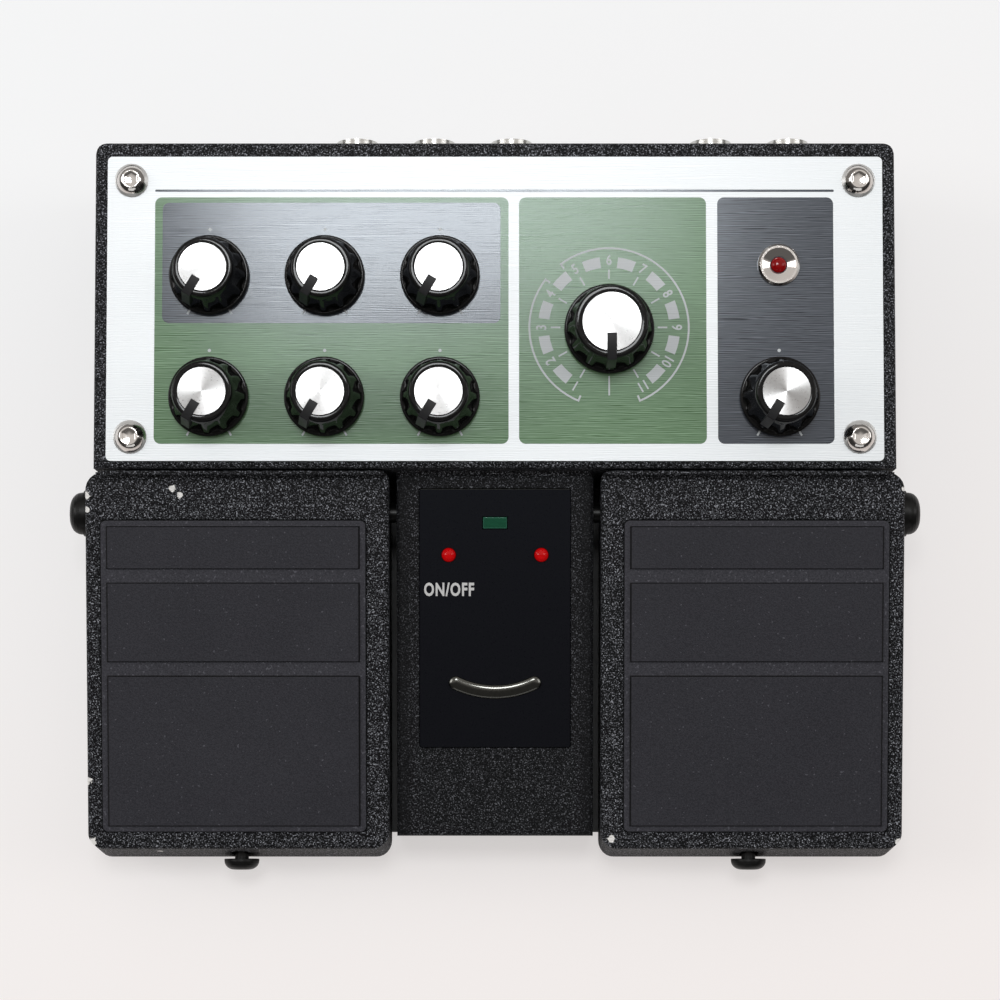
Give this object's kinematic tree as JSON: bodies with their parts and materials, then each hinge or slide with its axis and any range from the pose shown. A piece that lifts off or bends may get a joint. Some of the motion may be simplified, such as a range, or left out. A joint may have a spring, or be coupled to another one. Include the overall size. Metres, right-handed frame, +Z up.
{
  "type": "delay effect pedal",
  "caption": "Delay effect pedal: sloped control box with a brushed plate, fluted dials and a mode selector behind hinged, rubber-topped foot pedals, with jacks on the rear wall.",
  "frame": {"origin": "on the floor under the middle of the bounding box", "axes": "+X to the player's right, +Y to the rear wall with the jacks, +Z up"},
  "size_m": [0.1812, 0.158, 0.0569],
  "materials": {
    "body_paint": "fine-textured black paint with light specks",
    "base_plate": "satin black paint on sheet steel",
    "zinc": "zinc-plated, satin",
    "nickel": "bright nickel plating",
    "foot_rubber": "matte moulded rubber",
    "panel_aluminium": "brushed lengthwise, with printed colour fields",
    "name_plate": "satin black",
    "green_lens": "clear green, unlit",
    "red_lens": "clear red, unlit",
    "board": "green solder mask",
    "pot_steel": "stamped steel cans and turned bushings",
    "jack_plastic": "black moulded plastic",
    "black_screw": "black oxide, satin",
    "switch_plastic": "dark grey moulded plastic",
    "plunger": "white moulded plastic",
    "pad_rubber": "matte dark grey rubber, dusty",
    "spring_wire": "drawn spring steel",
    "knob_black": "glossy black moulding",
    "cap_aluminium": "spun, with a round grain"
  },
  "bodies": {
    "body": {"chassis": "body_paint", "bottom_plate": "base_plate", "bottom_screws": "zinc", "rubber_feet": "foot_rubber", "control_plate": "panel_aluminium", "plate_screws": "nickel", "name_plate": "name_plate", "power_lens": "green_lens", "status_leds": "red_lens", "peak_bezel": "nickel", "peak_led": "red_lens", "panel_board": "board", "main_board": "board", "lamp_board": "board", "board_screws": "zinc", "pot_bodies": "pot_steel", "mode_switch": "pot_steel", "bushing_nuts": "zinc", "jack_bodies": "jack_plastic", "jack_washers": "zinc", "jack_nuts": "nickel", "power_inlet": "jack_plastic", "pivot_screws": "black_screw", "pivot_washers": "black_screw", "pivot_pins": "zinc", "stop_screws": "black_screw", "foot_switches": "switch_plastic", "spring_left": "spring_wire", "spring_right": "spring_wire"},
    "left_pedal": {"pedal_left": "body_paint", "pad_left": "pad_rubber"},
    "right_pedal": {"pedal_right": "body_paint", "pad_right": "pad_rubber"},
    "left_plunger": {"plunger_left": "plunger"},
    "right_plunger": {"plunger_right": "plunger"},
    "bass_dial": {"bass_knob": "knob_black", "bass_cap": "cap_aluminium", "bass_shaft": "zinc"},
    "treble_dial": {"treble_knob": "knob_black", "treble_cap": "cap_aluminium", "treble_shaft": "zinc"},
    "reverb_dial": {"reverb_knob": "knob_black", "reverb_cap": "cap_aluminium", "reverb_shaft": "zinc"},
    "rate_dial": {"rate_knob": "knob_black", "rate_cap": "cap_aluminium", "rate_shaft": "zinc"},
    "intensity_dial": {"intensity_knob": "knob_black", "intensity_cap": "cap_aluminium", "intensity_shaft": "zinc"},
    "echo_dial": {"echo_knob": "knob_black", "echo_cap": "cap_aluminium", "echo_shaft": "zinc"},
    "input_dial": {"input_knob": "knob_black", "input_cap": "cap_aluminium", "input_shaft": "zinc"},
    "mode_dial": {"mode_knob": "knob_black", "mode_cap": "cap_aluminium", "mode_shaft": "zinc"}
  },
  "joints": [
    {"name": "left_pedal_press", "type": "hinge", "parent": "body", "child": "left_pedal", "pos_m": [0, -0.00326, 0.02652], "axis": [1, 0, 0], "range_deg": [0, 2.5], "stiffness_Nm_per_rad": 0.8, "springref_deg": -20.05, "deforming": ["spring_left"]},
    {"name": "right_pedal_press", "type": "hinge", "parent": "body", "child": "right_pedal", "pos_m": [0, -0.00326, 0.02652], "axis": [1, 0, 0], "range_deg": [0, 2.5], "stiffness_Nm_per_rad": 0.8, "springref_deg": -20.05, "deforming": ["spring_right"]},
    {"name": "left_switch_travel", "type": "slide", "parent": "body", "child": "left_plunger", "axis": [0, 0, -1], "range_m": [0, 0.00215]},
    {"name": "right_switch_travel", "type": "slide", "parent": "body", "child": "right_plunger", "axis": [0, 0, -1], "range_m": [0, 0.00215]},
    {"name": "bass_turn", "type": "hinge", "parent": "body", "child": "bass_dial", "pos_m": [-0.0598, 0.04502, 0.04282], "axis": [0, -0.0698, 0.9976], "range_deg": [-300, 0]},
    {"name": "treble_turn", "type": "hinge", "parent": "body", "child": "treble_dial", "pos_m": [-0.03565, 0.04502, 0.04282], "axis": [0, -0.0698, 0.9976], "range_deg": [-300, 0]},
    {"name": "reverb_turn", "type": "hinge", "parent": "body", "child": "reverb_dial", "pos_m": [-0.0115, 0.04502, 0.04282], "axis": [0, -0.0698, 0.9976], "range_deg": [-300, 0]},
    {"name": "rate_turn", "type": "hinge", "parent": "body", "child": "rate_dial", "pos_m": [-0.0598, 0.01958, 0.04104], "axis": [0, -0.0698, 0.9976], "range_deg": [-300, 0]},
    {"name": "intensity_turn", "type": "hinge", "parent": "body", "child": "intensity_dial", "pos_m": [-0.03565, 0.01958, 0.04104], "axis": [0, -0.0698, 0.9976], "range_deg": [-300, 0]},
    {"name": "echo_turn", "type": "hinge", "parent": "body", "child": "echo_dial", "pos_m": [-0.0115, 0.01958, 0.04104], "axis": [0, -0.0698, 0.9976], "range_deg": [-300, 0]},
    {"name": "input_turn", "type": "hinge", "parent": "body", "child": "input_dial", "pos_m": [0.0595, 0.01958, 0.04104], "axis": [0, -0.0698, 0.9976], "range_deg": [-300, 0]},
    {"name": "mode_turn", "type": "hinge", "parent": "body", "child": "mode_dial", "pos_m": [0.0239, 0.03375, 0.04203], "axis": [0, -0.0698, 0.9976], "range_deg": [0, 330]}
  ],
  "couplings": [
    {"joint": "left_switch_travel", "follows": "left_pedal_press", "m_per_rad": 0.048565},
    {"joint": "right_switch_travel", "follows": "right_pedal_press", "m_per_rad": 0.048565}
  ]
}
